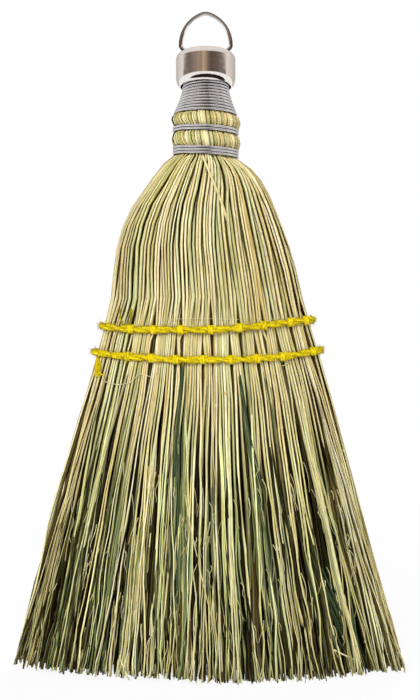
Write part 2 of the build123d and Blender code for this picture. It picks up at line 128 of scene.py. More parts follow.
# Thickness of the stalks
STALK_WIDTH = 1.02  # room of a stalk at the rows
STALK_SPREAD = 0.22
STALK_ARC = 1.1  # length round the outside, as a share of the width
STALK_GROWTH = [
    (0, 0.76), (60, 0.92), (107, 1.0), (131, 1.0), (150, 1.62), (173, 1.74), (187, 1.74), (205, 1.6),
    (240, 1.6),
]
STALK_FILL = (0.34, 0.47)  # least and most radius of a stalk, as a share of its room
ROW_PACKING = 0.07  # added to it at the sewn rows
ROW_REACH = 16.0
DOME_THINNING = 0.055  # taken off it in the dome
DOME_START = (6, 24)  # heights above the upper row
DOME_END = (4, 26)  # depths below the neck
NECK_PACKING = 0.13  # added to it in the neck
NECK_START = 4.0  # height over which that sets in
RADIUS_WAVES = ((60, 33), 0.084)  # lengths and size of the waves, as for other bends
# Widens strands of few sides, which fill less than round ones
FULLNESS = {8: 1.0, 5: 1.15, 4: 1.09, 3: 1.35}

# Way of the stalks
LOCKS = 80  # clumps that the tips draw together in
LOCK_PULL = 0.2  # how far they are drawn to the middle of a clump
LOCK_CURVE = 1.2
TIP_STRAY = 2.0  # how far tips stray aside
TIP_CURVE = 1.4
SKIRT_CROSSING = 1.1  # how far stalks cross each other below the rows
CROSSED_HEIGHT = 60
DOME_CROSSING = 0.013  # how far they cross each other below the neck, in shares of the width
CROSSING_START = 10.0  # above the upper row
BEND_WAVES = (90, 47, 28)
BENDS = (0.1, 0.8)  # size of the bends, and what the skirt adds at its tips
KINK_WAVES = (21, 15)
KINK = 0.1  # size of the short bends of strands in the skirt
KINK_SHARE = 0.4  # of the skirt, where they are that large
WIDTH_ROOM = 0.01  # how far strands may pass the edge of the fan
DEPTH_SPREAD = 0.35
TIP_DEPTH = (0.4, 0.9)  # mean and spread of the depth that the tips add
DARK_DEPTH = 1.2  # how much deeper the darkest stalks of the skirt lie
DEPTH_WAVES = ((70, 38), 0.5)
MOST_PROUD = 0.6  # how far a strand may stand out of the fan

# Fine growth in the skirt, with the ranges that its sizes are drawn from
FINE_RINGS = 14
FIBRE = Values(
    numbers=(3.4, 2.4, 1.6),  # for each stalk of the three layers
    own_tint=0.45,  # share of them that don't have their stalk's tint
    stray=0.03,  # of their tips, for each millimetre of height that they start at
    kink_rise=4,  # how fast the kinks grow below the start
    out=(0.5, 0.8),  # mean and spread of how far they stand off their stalk
    tone=(0.12, 0.3),  # mean and spread of its logarithm
    sides=(4, 3, 3), starts=(18, 122), curve=1.3, waves=((60, 31, 17), 0.7), kinks=(15, 11), out_rise=3,
    radii=(0.18, 0.46), taper=(1.1, 0.75),
)
KNUCKLE = Values(
    number=44, heights=(12, 112), lengths=(0.5, 0.9), profile=np.array([0.95, 1.1, 1.22, 1.08, 0.95]),
)
SHOOT = Values(
    number=170, tops=(10, 84), lengths=(3, 12), foot=3.0, curls=(0.1, 0.55), waves=(3, 9), slant=0.16,
    places=(-0.9, 0.9), rises=(0.1, 0.8), out=0.1, radii=(0.08, 0.19), taper=(1.1, 0.6), kinds=3,
)
STRAY = Values(
    number=3, tops=(40, 116), feet=(3, 30), length=75.0, slant=0.07, places=(-0.8, 0.8), edge=0.97,
    waves=((60, 35), 0.012), out=0.3, radii=(0.15, 0.24), taper=(1.1, 0.7), kinds=2,
)

# Twine: rise of each row over its length, and the places of its stitches
UPPER_LINE = [(-1, 0.6), (-0.8, -0.7), (-0.5, -1.4), (0, -1.5), (0.35, -0.6), (0.7, 1.2), (1, 2.8)]
LOWER_LINE = [(-1, 1.6), (-0.8, 0.1), (-0.5, -1.0), (-0.2, -1.7), (0.2, -1.7), (0.6, -0.8), (1, 2.0)]
UPPER_KNOTS = (-29.0, -20.0, -9.4, 2.2, 13.4, 22.8, 33.4, 39.6)
LOWER_KNOTS = (-30.2, -21.0, -11.1, -1.1, 9.5, 20.1, 30.1, 42.4)
TWINE = Values(plies=2, ply=0.84, offset=0.56, pitch=15.0, tones=(0.88, 1.05))
ROW = Values(lift=1.1, end_reach=0.9, smoothings=12)  # line of a cord, lifted off the corn
KNOT = Values(
    gap=0.8,  # how far a stitch pushes the stalks aside
    fade=1.8,  # how fast the push fades to the side
    heights=(6.0, 14.0),  # how far it goes above and below the row
    reach=1.16, ply=0.68, turns=2.0, length=1.9, tones=(0.95, 1.1),
)
HAIR = Values(
    root=0.25,  # how deep in the twine a hair begins
    seam=3,  # points without hairs at both ends of the line
    number=2000, length=0.5, stray=0.55, radius=0.07, up=(0.3, 0.5, 0.8), tones=(0.5, 1.15),
)
# Frayed ends of the twine: (x, z) points, number of fibres, their spread, radii and tone
TWINE_ENDS = [
    ([(-31.4, 135.6), (-32.6, 139.6), (-33.0, 143.6)], 3, 0.3, (0.12, 0.22), 0.55),
    ([(-30.6, 136.0), (-28.9, 138.6), (-28.5, 142.8)], 4, 0.35, (0.12, 0.24), 0.6),
    ([(-42.0, 124.6), (-41.7, 120.2), (-41.7, 116.4)], 20, 0.6, (0.12, 0.24), 0.9),
]
FRAY = Values(
    shares=np.array([[0.6], [0.9], [1.0]]) * np.array([1, 0.5]),  # of the spread at each point, in x and z
    out=(0.3, 1.2), tones=(0.6, 1.3),
)
# Threads that came loose: (x, z) points and radius
THREADS = [
    ([(-40.2, 114.6), (-34.0, 113.4), (-29.5, 114.0), (-25.0, 117.6), (-21.5, 116.4)], 0.17),
    ([(29.8, 120.6), (32.0, 121.8), (35.4, 122.2)], 0.15),
    ([(-15.0, 138.6), (-2.0, 138.8), (13.0, 138.5)], 0.1),
]

# Wire: turns and pitch of each winding
WINDINGS = {
    "lower_wire_band": (3, 1.12),
    "middle_wire_band": (2, 1.12),
    "neck_winding": (12, 1.2),
    "inner_tie_wire": (4, 1.28),
}
WIRE = Values(
    inset=0.85,  # from the outside of a CAD band to the inside of its wire
    press=0.25,  # how far the winding is pressed out under the lip
    lean=0.5,  # how far up the side of a wire faces that its painted groove shade leaves bright
    radius=0.57, steps_per_turn=64, press_reach=1.5, tones=(0.95, 1.4), tones_per_turn=3,
)
# Painted reflection: bright and dull streaks of the wires from the left to the right of the neck
WIRE_PAINTED_STREAKS = [
    (-1, 1.0), (-0.7, 0.85), (-0.36, 1.9), (-0.1, 0.7), (0.12, 0.55), (0.38, 2.0), (0.7, 0.95), (1, 0.85),
]

# Tubes
ROUND_SIDES = 8  # tubes with fewer turn a flat side to the front
GRAIN_SPREAD = 40.0
FLANKS = (0.05, 0.85)  # how far out of the corn a tube faces where its painted flank shade is full and where it ends
TINY = 1e-9


def srgb(red, green, blue):
    """A linear colour from 0 to 255 values."""
    value = np.array([red, green, blue]) / 255
    return np.where(value > 0.04045, ((value + 0.055) / 1.055) ** 2.4, value / 12.92)


# Colours, with the share of the stalks that have each
STALK_COLOURS = [
    (srgb(244, 235, 190), 0.32),
    (srgb(234, 222, 168), 0.28),
    (srgb(220, 222, 172), 0.2),
    (srgb(234, 215, 170), 0.05),
    (srgb(206, 208, 150), 0.08),
    (srgb(249, 243, 214), 0.06),
]
# Tints that stalks turn to in the skirt, with the share of each
SKIRT_TINTS = [
    ((1.32, 1.38, 1.34), 0.46),
    ((0.9, 0.97, 0.82), 0.13),
    ((0.54, 0.62, 0.48), 0.09),
    ((0.22, 0.28, 0.2), 0.13),
    ((0.17, 0.14, 0.12), 0.1),
    ((0.16, 0.25, 0.19), 0.09),
]
TINT_SHARE = 0.5  # of the skirt, where they have turned
END_TINTS = SKIRT_TINTS[:3]  # of the narrow ends
END_SHARE = 0.88  # of the half width, where they begin
END_TONE = 0.22  # least tone that the painted shade leaves their inner layers in the skirt
LAYER_SHADE_TONES = [(0.93, 1.0), (0.13, 0.06), (0.04, 0.015)]  # tone of each layer, in the dome and in the skirt, with painted shade for the inner ones
# Painted shade of the inside tufts, in the dome and in the skirt
INSIDE_SHADE_TONES = (0.02, 0.01)
TONE_SHARE = 0.3  # of the skirt, where they have turned
TONE_SPREAD = (0.08, 0.16)  # of single strands, and what the skirt adds at its tips
TIP_TONE = 0.1  # share of their own colour that inner stalks in painted shade get back at their tips
TIP_SHARE = 0.93  # of the skirt, where the tips begin
# Painted shade of the core of the neck
CORE_SHADE = 0.12
BOUND_SHADE = 0.06  # painted shade of the stalks under the winding
BOUND_REACH = 2.0
BRIGHTEST = 0.88  # most that a channel of a strand's colour has
SHADE_TINT = np.array([1.0, 0.86, 0.42])  # tint of the painted shade on what lies behind others
EDGE_SHADE = np.array([0.08, 0.06, 0.03])  # painted shade of a stalk where it turns in towards its neighbours
NECK_EDGE = np.array([0.5, 0.46, 0.3])  # the same in the neck
NECK_EDGE_HEIGHTS = (-26, 3)  # from the foot of the neck, between which it turns to that
# Painted shade on the flanks of leaf blades, twine plies and wire turns
LEAF_EDGE_SHADE = np.array([0.36, 0.36, 0.3])
TWINE_EDGE_SHADE = np.array([0.62, 0.54, 0.3])
WIRE_GROOVE_SHADE = np.array([0.1, 0.1, 0.11])
KNUCKLE_TINT = np.array([0.8, 0.72, 0.56])
LEAF_GREENS = np.array([srgb(74, 96, 66), srgb(122, 138, 100), srgb(170, 180, 138)])
THREAD_COLOUR = srgb(236, 228, 196)
TWINE_YELLOW = srgb(236, 219, 22)
CAP_NICKEL = srgb(243, 238, 234)
# Painted highlight, middle tone and painted shade of the ring: its inside, side and outside
RING_PAINTED_LIGHT = [(0.2, srgb(246, 242, 240)), (0.5, srgb(180, 170, 162)), (0.85, srgb(68, 57, 49))]

# Floor, in metres: it is partly white at the broom, and all white from some way off
FLOOR = Values(size=6.0, grey=0.92, roughness=0.9, white=0.92, fade=(0.08, 0.42))
# Painted reflection: dark patch of the floor that shows only in the metal, as shade under the cap's lip: a
# sickle round the broom, in metres and degrees
SICKLE = Values(
    reach=0.52,  # of the logarithm of the radius
    taper=1.1,  # how fast it narrows to its ends
    radius=0.5, turn=12.0, edge=0.2, depth=0.99,
)
# Room in front of the broom, as the metal mirrors it: colours from its left to its right
ROOM_COLOURS = [
    (0.0, srgb(140, 126, 118)), (0.06, srgb(116, 101, 92)), (0.2, srgb(150, 132, 120)),
    (0.3, srgb(164, 143, 128)), (0.36, srgb(152, 130, 114)), (0.42, srgb(194, 169, 145)),
    (0.48, srgb(182, 156, 130)), (0.57, srgb(130, 110, 95)), (0.66, srgb(94, 80, 70)),
    (0.84, srgb(106, 94, 86)), (1.0, srgb(132, 122, 116)),
]
# Its other sides, and how far to the front or up the directions point between which it changes
ROOM = Values(
    side=srgb(232, 226, 221), back=srgb(196, 189, 185), ceiling=srgb(236, 231, 227),
    turn=-6.0,  # degrees by which the dim side is turned to the right
    arch=0.1,  # how much lower the dim side is at its two ends
    front_edge=(-0.04, 0.08), back_edge=(-0.95, -0.15), arch_reach=0.9,
    top=(0.40, 0.43), ceiling_edge=(0.5, 0.8),
)

# Green strands: share of the width, reach, chance, and heights between which they are green
GREEN_PATCHES = [
    (-0.14, 0.05, 0.35, 110, -20),
    (0.34, 0.04, 0.3, 118, 30),
    (0.66, 0.08, 0.35, 70, -20),
    (-0.44, 0.03, 0.3, 70, -20),
    (0.12, 0.03, 0.3, 60, -20),
]
PATCH = Values(
    fade=16.0,
    ring=-6,  # where a strand has to lie in the patch, counted from the tips
)
# Tufts of leaf blades: shares of the width at the start and the end, reach, number, heights and greens
LEAF_TUFTS = [
    (-0.21, -0.205, 0.03, 8, 127, 78, (0, 0, 0, 1)),
    (-0.2, -0.17, 0.04, 8, 104, 2, (0, 1, 2, 2)),
    (-0.125, -0.125, 0.025, 4, 68, 1, (2, 2, 1)),
    (0.25, 0.36, 0.015, 5, 122, 58, (0, 1)),
    (0.47, 0.5, 0.012, 3, 122, 80, (0, 1)),
    (0.36, 0.36, 0.04, 5, 92, 10, (1, 1, 2)),
    (0.62, 0.78, 0.05, 9, 52, 1, (0, 0, 1)),
    (0.6, 0.64, 0.05, 4, 62, 1, (0, 1)),
    (-0.45, -0.45, 0.04, 4, 64, 1, (1, 2)),
    (-0.3, -0.3, 0.04, 4, 58, 2, (0, 1, 2)),
    (0.13, 0.13, 0.04, 5, 62, 2, (0, 1)),
    (-0.62, -0.62, 0.04, 4, 50, 2, (0, 1)),
    (0.02, 0.02, 0.03, 3, 76, 20, (0, 1)),
]
LEAF = Values(
    starts=(0, 0.2),  # shares of the height of the tuft that a blade is shorter at its top
    stops=(0, 0.3),  # and at its foot
    belly=(0.08, 0.92),  # part of a half wave that the width follows
    stray=0.8,  # how far the foot of a blade strays aside
    half_widths=(0.16, 0.42), flatness=0.5, depths=(-0.3, 0.3), waves=((80, 42), 0.6), tone=0.25,
)
# Single strands that lie across the others at the front: (x, z) points and radius
LAID_STRANDS = [
    ([(-1.0, 203.5), (3.6, 190.0), (8.2, 176.8)], 0.45),
    ([(47.6, 12.4), (53.0, 9.4), (58.4, 6.6)], 0.3),
    ([(-33.0, 10.5), (-31.0, 5.5), (-29.4, 1.0)], 0.32),
]
LAID = Values(
    start=(0.6, 0.15),  # depth of the first end of a laid line in the corn, and the share that dips
    stop=(1.0, 0.8),  # depth of its last end, and the share where the dip begins
)


def node_box(node):
    """Lowest and highest corner of a CAD node."""
    low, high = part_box(node)
    return np.array(low) / MM, np.array(high) / MM


def node_height(node):
    """Height of the middle of a CAD node."""
    return float(np.mean([corner[2] for corner in node_box(node)]))


LOWER_BAND = node_box("lower_wire_band")
MIDDLE_BAND = node_box("middle_wire_band")
WINDING = node_box("neck_winding")
CAP = node_box("cap_shell")
FAN_TOP = LOWER_BAND[0][2]
STALK_TOP = CAP[1][2] - CAP_ROOM
RING_CENTRE = node_height("hanger_ring")
UPPER_ROW = node_height("upper_twine_band")
LOWER_ROW = node_height("lower_twine_band")


def smooth_curve(stations):
    """A smooth function through (place, value) stations, without overshoot."""
    place, value = np.array(sorted(stations), float).T
    slope = np.diff(value) / np.diff(place)
    same = slope[:-1] * slope[1:] > 0
    total = np.where(same, slope[:-1] + slope[1:], 1)
    middle = np.where(same, 2 * slope[:-1] * slope[1:] / total, 0)
    tangent = np.concatenate([slope[:1], middle, slope[-1:]])

    def curve(x):
        i = np.clip(np.searchsorted(place, x) - 1, 0, len(place) - 2)
        step = place[i + 1] - place[i]
        t = np.clip((x - place[i]) / step, 0, 1)
        start = (1 + 2 * t) * (1 - t) ** 2 * value[i] + t * (1 - t) ** 2 * step * tangent[i]
        end = t * t * (3 - 2 * t) * value[i + 1] + t * t * (t - 1) * step * tangent[i + 1]
        return start + end

    return curve


def smoothstep(low, high, value):
    """0 at low, 1 at high, and a smooth step between them."""
    t = np.clip((value - low) / (high - low), 0, 1)
    return t * t * (3 - 2 * t)


def neck_stations():
    """Heights and radii of the bound stalks, pinched under each wire."""
    stations = [(FAN_TOP, NECK_RADIUS), (LOWER_BAND[1][2], NECK_RADIUS)]
    for below, above in ((LOWER_BAND, MIDDLE_BAND), (MIDDLE_BAND, WINDING)):
        foot, top = below[1][2], above[0][2]
        for share in BULGE_SHARES:
            swelling = NECK_BULGE * math.sqrt(math.sin(math.pi * share))
            stations.append((foot + (top - foot) * share, NECK_RADIUS + swelling))
        stations += [(top, NECK_RADIUS), (min(above[1][2], top + NECK_PINCH), NECK_RADIUS)]
    stations[-1] = (WINDING[1][2], NECK_TOP_RADIUS)
    return [*stations, (STALK_TOP, NECK_TOP_RADIUS)]


def ring_levels():
    """Heights of the rings of all the stalks, from the top down to the tips."""
    skirt = np.linspace(0, LOWER_ROW, SKIRT_RINGS)[:-1]
    rows = np.linspace(LOWER_ROW, UPPER_ROW, ROW_RINGS)
    share = np.linspace(0, 1, DOME_RINGS)[1:]
    dome = UPPER_ROW + (FAN_TOP - UPPER_ROW) * (1 - (1 - share) ** DOME_CROWDING)
    neck = [z for z, _ in neck_stations()[1:]]
    return np.concatenate([skirt, rows, dome, neck])[::-1]


RING_LEVELS = ring_levels()
FINE_SHARE = np.linspace(0, 1, FINE_RINGS)
half_width = smooth_curve([(z, width) for z, width, _ in FAN] + neck_stations())
half_depth = smooth_curve([(z, depth) for z, _, depth in FAN] + neck_stations())
roundness = smooth_curve(FAN_ROUNDNESS)
lean = smooth_curve(FAN_LEAN)
stalk_growth = smooth_curve(STALK_GROWTH)
# How much of the neck's dip and tilt there is at each height
neck_pull = smooth_curve([
    (170, 0), (190, 0.4), (FAN_TOP, 1), (MIDDLE_BAND[0][2], 0.9), (WINDING[0][2], 0.55), (CAP[0][2], 0),
])


def pulled(x, y, z):
    """Height of a point of the neck, which hangs lower at the front and on the right."""
    return z + neck_pull(z) * (NECK_DIP * y - NECK_TILT * x) / NECK_RADIUS


def spot(z, u, v, inset):
    """Place in the fan from shares of its width and depth, inset from its outside."""
    corner = math.radians(CORNER_ANGLE)
    even = np.sin(u * (math.pi / 2 - corner)) / math.cos(corner)
    round_x = even * np.sqrt(np.clip(1 - (math.sin(corner) * v) ** 2, 0, 1))
    round_y = v * np.sqrt(np.clip(1 - (math.cos(corner) * even) ** 2, 0, 1))
    flat_y = v * (1 - CROWN * u * u)
    mix = roundness(z)
    x = (half_width(z) - inset) * (u + (round_x - u) * mix) + lean(z)
    y = (half_depth(z) - inset) * (flat_y + (round_y - flat_y) * mix)
    return np.stack([x, y, pulled(x, y, z)], -1)


def unit(vectors):
    """Vectors with a length of one."""
    return vectors / np.maximum(np.linalg.norm(vectors, axis=-1, keepdims=True), TINY)


def outward(paths):
    """Directions out of the corn at points in it."""
    x, y, z = np.moveaxis(paths, -1, 0)
    return unit(np.stack([x / half_width(z) ** 2, y / half_depth(z) ** 2, np.zeros(z.shape)], -1))


def run_length(paths):
    """Length of paths up to each of their points."""
    steps = np.diff(paths, axis=-2, prepend=paths[..., :1, :])
    return np.cumsum(np.linalg.norm(steps, axis=-1), axis=-1)


def side_frame(paths, up):
    """Directions to the side of paths and, square to that, the way up."""
    along = unit(np.gradient(paths, axis=-2))
    up = np.broadcast_to(np.array(up, float), paths.shape)
    lift = unit(up - (up * along).sum(-1, keepdims=True) * along)
    return np.cross(lift, along), lift


def added(name, data):
    """A new object in the scene."""
    thing = bpy.data.objects.new(name, data)
    bpy.context.scene.collection.objects.link(thing)
    return thing


class MeshBuilder:
    """Collects tubes into one mesh, with a colour and a grain coordinate at each point."""

    def __init__(self):
        self.points, self.colours, self.grain = [], [], []
        self.quads, self.caps = [], []
        self.count = 0

    def add_tubes(self, paths, radii, colours, sides, up=(0, 1, 0), flat=1.0, away=None, edge=EDGE_SHADE):
        """Tubes of the same ring count along paths (tube, ring, xyz), closed at both ends.

        Where away gives the directions out of the corn, the tubes have painted shade, the edge tint, on
        their flanks.
        """
        tubes, rings, _ = paths.shape
        side, lift = side_frame(paths, up)
        turned_by = 0.5 if sides < ROUND_SIDES else 0.0
        angle = math.tau * (np.arange(sides) + turned_by) / sides - math.pi / 2
        around = np.stack([np.cos(angle), np.sin(angle)], -1)
        ring = around[:, :1] * side[:, :, None] + flat * around[:, 1:] * lift[:, :, None]
        points = paths[:, :, None] + np.broadcast_to(radii, (tubes, rings))[:, :, None, None] * ring
        grain = np.empty(points.shape)
        grain[..., :2] = rng.uniform(0, GRAIN_SPREAD, (tubes, 1, 1, 2)) + around
        grain[..., 2] = run_length(paths)[:, :, None]
        shade = np.broadcast_to(np.asarray(colours).reshape(tubes, -1, 1, 3), points.shape)
        if away is not None:
            facing = smoothstep(*FLANKS, (ring * away[:, :, None]).sum(3))
            shade = shade * (edge + (1 - edge) * facing[..., None])
        index = self.count + np.arange(tubes * rings * sides).reshape(tubes, rings, sides)
        turned = np.roll(index, -1, axis=2)
        quads = np.stack([index[:, :-1], turned[:, :-1], turned[:, 1:], index[:, 1:]], -1)
        self.quads.append(quads.reshape(-1, 4))
        self.caps += [*index[:, 0, ::-1], *index[:, -1]]
        self.points.append(points.reshape(-1, 3))
        self.colours.append(shade.reshape(-1, 3))
        self.grain.append(grain.reshape(-1, 3))
        self.count += tubes * rings * sides

    def build(self, name, material, body, slot, *nodes):
        """The mesh as a piece that rides on a body and stands for CAD nodes."""
        quads = np.concatenate(self.quads).tolist()
        caps = [cap.tolist() for cap in self.caps]
        mesh = bpy.data.meshes.new(name)
        mesh.from_pydata((np.concatenate(self.points) * MM).tolist(), [], quads + caps)
        mesh.polygons.foreach_set("use_smooth", [True] * len(quads) + [False] * len(caps))
        rgba = np.ones((self.count, 4))
        shade = np.concatenate(self.colours)
        rgba[:, :3] = shade * np.minimum(1, BRIGHTEST / np.maximum(shade.max(1, keepdims=True), TINY))
        # Colour of each point together with its painted light
        colour = mesh.attributes.new("colour_and_painted_light", "FLOAT_COLOR", "POINT")
        colour.data.foreach_set("color", rgba.ravel())
        grain = mesh.attributes.new("grain", "FLOAT_VECTOR", "POINT")
        grain.data.foreach_set("vector", np.concatenate(self.grain).ravel())
        mesh.materials.append(material)
        piece = added(name, mesh)
        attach(piece, body)
        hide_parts(*nodes)


class Graph:
    """Short hand for a node tree: each method adds nodes and gives their output.

    Inputs, in their order or by name, are constants or the outputs of other nodes.
    """

    def __init__(self, tree):
        self.tree = tree

    def feed(self, node, inputs):
        """Set or link the inputs of a node."""
        for key, value in inputs.items() if isinstance(inputs, dict) else enumerate(inputs):
            if isinstance(value, bpy.types.NodeSocket):
                self.tree.links.new(value, node.inputs[key])
            else:
                node.inputs[key].default_value = value

    def add(self, kind, inputs=(), **settings):
        """A new node with its settings and inputs."""
        node = self.tree.nodes.new(f"ShaderNode{kind}")
        for key, value in settings.items():
            setattr(node, key, value)
        self.feed(node, inputs)
        return node

    def ramp(self, value, *stops):
        """Colour ramp with (place, grey or colour) stops."""
        node = self.add("ValToRGB", [value])
        while len(node.color_ramp.elements) < len(stops):
            node.color_ramp.elements.new(0.5)
        for element, (place, colour) in zip(node.color_ramp.elements, stops):
            element.position = place
            element.color = (*np.broadcast_to(colour, 3), 1)
        return node.outputs["Color"]

    def math(self, operation, *values):
        return self.add("Math", values, operation=operation).outputs[0]

    def vector(self, operation, *values):
        return self.add("VectorMath", values, operation=operation).outputs

    def mix(self, share, first, second, blend="MIX"):
        inputs = {"Factor": share, "A": first, "B": second}
        return self.add("Mix", inputs, data_type="RGBA", blend_type=blend).outputs["Result"]

    def step(self, value, low, high, start=0.0, end=1.0):
        """A smooth step from start to end as the value goes from low to high."""
        inputs = {"Value": value, "From Min": low, "From Max": high, "To Min": start, "To Max": end}
        return self.add("MapRange", inputs, interpolation_type="SMOOTHSTEP").outputs["Result"]

    def split(self, vector):
        return self.add("SeparateXYZ", [vector]).outputs

    def ahead(self, x, y, turn):
        """How far a direction points to the front, which is turned to the right by some degrees."""
        turn = math.radians(turn)
        return self.math("MULTIPLY_ADD", x, math.sin(turn), self.math("MULTIPLY", y, -math.cos(turn)))

    def place(self, kind):
        return self.add("TexCoord").outputs[kind]

    def is_glossy(self):
        """1 for what shows in a reflection."""
        return self.add("LightPath").outputs["Is Glossy Ray"]

    def seen(self):
        """1 for what the camera sees, directly, in a reflection or through glass."""
        path = self.add("LightPath").outputs
        through = self.math("MAXIMUM", path["Is Glossy Ray"], path["Is Transmission Ray"])
        return self.math("MAXIMUM", path["Is Camera Ray"], through)


class Nodes(Graph):
    """Short hand for the node tree of one material."""

    def __init__(self, name):
        self.material = bpy.data.materials.new(name)
        self.material.use_nodes = True
        super().__init__(self.material.node_tree)
        self.shader = self.tree.nodes["Principled BSDF"]

    def attribute(self, name, output):
        return self.add("Attribute", attribute_name=name).outputs[output]

    def noise(self, vector, stretch, detail=3.0):
        """Noise on a vector that is first stretched."""
        stretched = self.add("Mapping", {"Vector": vector, "Scale": stretch}).outputs["Vector"]
        inputs = {"Vector": stretched, "Scale": 1.0, "Detail": detail}
        return self.add("TexNoise", inputs).outputs["Fac"]

    def multiply(self, first, second):
        return self.mix(1.0, first, second, "MULTIPLY")

    def bump(self, height, strength, distance):
        inputs = {"Strength": strength, "Distance": distance * MM, "Height": height}
        return self.add("Bump", inputs).outputs["Normal"]

    def shade(self, inputs):
        """The finished material, with the inputs of its shader."""
        self.feed(self.shader, inputs)
        return self.material


def corn_material():
    """Dry stalks: each strand's colour and painted shade, streaked along its length, with fine furrows and
    specks.
    """
    nodes = Nodes("corn")
    grain = nodes.attribute("grain", "Vector")
    streak = nodes.noise(grain, (2.4, 2.4, 0.035))
    fade = nodes.noise(grain, (0.25, 0.25, 0.025))
    speck = nodes.noise(grain, (1.6, 1.6, 0.9), 2.0)
    mottle = nodes.noise(grain, (0.8, 0.8, 0.22), 2.0)
    colour = nodes.attribute("colour_and_painted_light", "Color")
    colour = nodes.multiply(colour, nodes.ramp(streak, (0.3, 0.6), (0.56, 1.0)))
    colour = nodes.multiply(colour, nodes.ramp(mottle, (0.34, srgb(230, 227, 214)), (0.54, 1.0)))
    colour = nodes.multiply(colour, nodes.ramp(fade, (0.32, srgb(230, 214, 182)), (0.6, 1.0)))
    colour = nodes.multiply(colour, nodes.ramp(speck, (0.22, srgb(120, 92, 50)), (0.31, 1.0)))
    return nodes.shade({
        "Base Color": colour,
        "Roughness": nodes.ramp(streak, (0.3, 0.7), (0.7, 0.5)),
        "Specular IOR Level": 0.15,
        "Normal": nodes.bump(streak, 0.5, 0.15),
    })


def twine_material():
    """Dyed twine: fine fibres along each ply."""
    nodes = Nodes("twine")
    fibre = nodes.noise(nodes.attribute("grain", "Vector"), (4.0, 4.0, 0.9))
    colour = nodes.attribute("colour_and_painted_light", "Color")
    colour = nodes.multiply(colour, nodes.ramp(fibre, (0.36, srgb(176, 150, 60)), (0.6, 1.0)))
    return nodes.shade({
        "Base Color": colour,
        "Roughness": 0.6,
        "Specular IOR Level": 0.2,
        "Normal": nodes.bump(fibre, 0.7, 0.25),
    })


def wire_material():
    """Galvanised wire, with dull patches, and the painted reflection and groove shade of each turn."""
    nodes = Nodes("wire")
    patch = nodes.noise(nodes.attribute("grain", "Vector"), (1.2, 1.2, 0.12))
    tint = nodes.ramp(patch, (0.3, srgb(226, 225, 228)), (0.7, srgb(254, 253, 255)))
    return nodes.shade({
        "Base Color": nodes.multiply(tint, nodes.attribute("colour_and_painted_light", "Color")),
        "Roughness": nodes.ramp(patch, (0.3, 0.2), (0.7, 0.1)),
        "Metallic": 1.0,
        "Normal": nodes.bump(patch, 0.25, 0.05),
    })


def nickel_material(name, plating, painted_light=None):
    """Plated steel: smooth, with faint drawing marks and small dull spots, and painted light where it is
    given.
    """
    nodes = Nodes(name)
    place = nodes.place("Object")
    marks = nodes.noise(place, (500, 500, 60))
    spots = nodes.noise(place, (700, 700, 700))
    colour = nodes.ramp(marks, (0.3, 0.9 * plating), (0.7, plating))
    if painted_light:
        colour = nodes.multiply(painted_light(nodes, place), colour)
    return nodes.shade({
        "Base Color": colour,
        "Roughness": nodes.ramp(spots, (0.35, 0.06), (0.75, 0.14)),
        "Metallic": 1.0,
        "Normal": nodes.bump(marks, 0.05, 0.05),
    })


def ring_painted_light(nodes, place):
    """Painted shade on the outside of the ring, and a painted highlight on its inside."""
    offset = nodes.vector("SUBTRACT", place, (0, 0, RING_CENTRE * MM))[0]
    away = nodes.vector("NORMALIZE", offset)[0]
    outside = nodes.vector("DOT_PRODUCT", away, nodes.place("Normal"))["Value"]
    return nodes.ramp(nodes.math("MULTIPLY_ADD", outside, 0.5, 0.5), *RING_PAINTED_LIGHT)


def scatter(amount, count, middle=0.0):
    """A number for each of some strands, spread about a middle."""
    return rng.normal(middle, amount, (count, 1))


def between(bounds, count):
    """A number for each of some strands, evenly spread between bounds."""
    return rng.uniform(*bounds, (count, 1))


def drawn(table, count):
    """Colours from a table, drawn by their shares."""
    colours, weights = zip(*table)
    return np.array(colours)[rng.choice(len(colours), count, p=np.array(weights) / sum(weights))]


def straw(kinds, count):
    """Colours drawn evenly from the first kinds of stalks."""
    return np.array([colour for colour, _ in STALK_COLOURS])[rng.integers(0, kinds, count)]


def packed_widths(span, width):
    """Uneven widths of stalks that fill a span side by side."""
    widths = width * rng.lognormal(0, STALK_SPREAD, int(span / width))
    return widths * span / widths.sum()


def knot_push(u, z):
    """How far the stitches push stalks aside, in shares of the width."""
    push = np.zeros(np.broadcast(u, z).shape)
    for row, knots in ((UPPER_ROW, UPPER_KNOTS), (LOWER_ROW, LOWER_KNOTS)):
        width = half_width(row)
        near = np.exp(-((z - row) / np.where(z > row, *KNOT.heights)) ** 2)
        for knot in knots:
            gap = u * width + lean(row) - knot
            push += near * KNOT.gap / width * np.sign(gap) * np.exp(-np.abs(gap) / KNOT.fade)
    return push


def wander(z, lengths, amount):
    """Smooth uneven bends of each strand."""
    bend = np.zeros(z.shape)
    for length in lengths:
        phase = between((0, math.tau), len(z))
        bend += scatter(1, len(z)) * np.sin(math.tau * z / length + phase)
    return bend * amount / len(lengths)


def tip_heights(u):
    """Ragged heights at which strands end."""
    return np.interp(u, *np.array(TIP_HEIGHTS).T) + np.abs(rng.normal(0, TIP_RAGGED, len(u)))


def skirt_share(z):
    """0 above the skirt, and 1 at the tips."""
    top = LOWER_ROW - SKIRT_START
    return np.clip((top - z) / top, 0, 1)


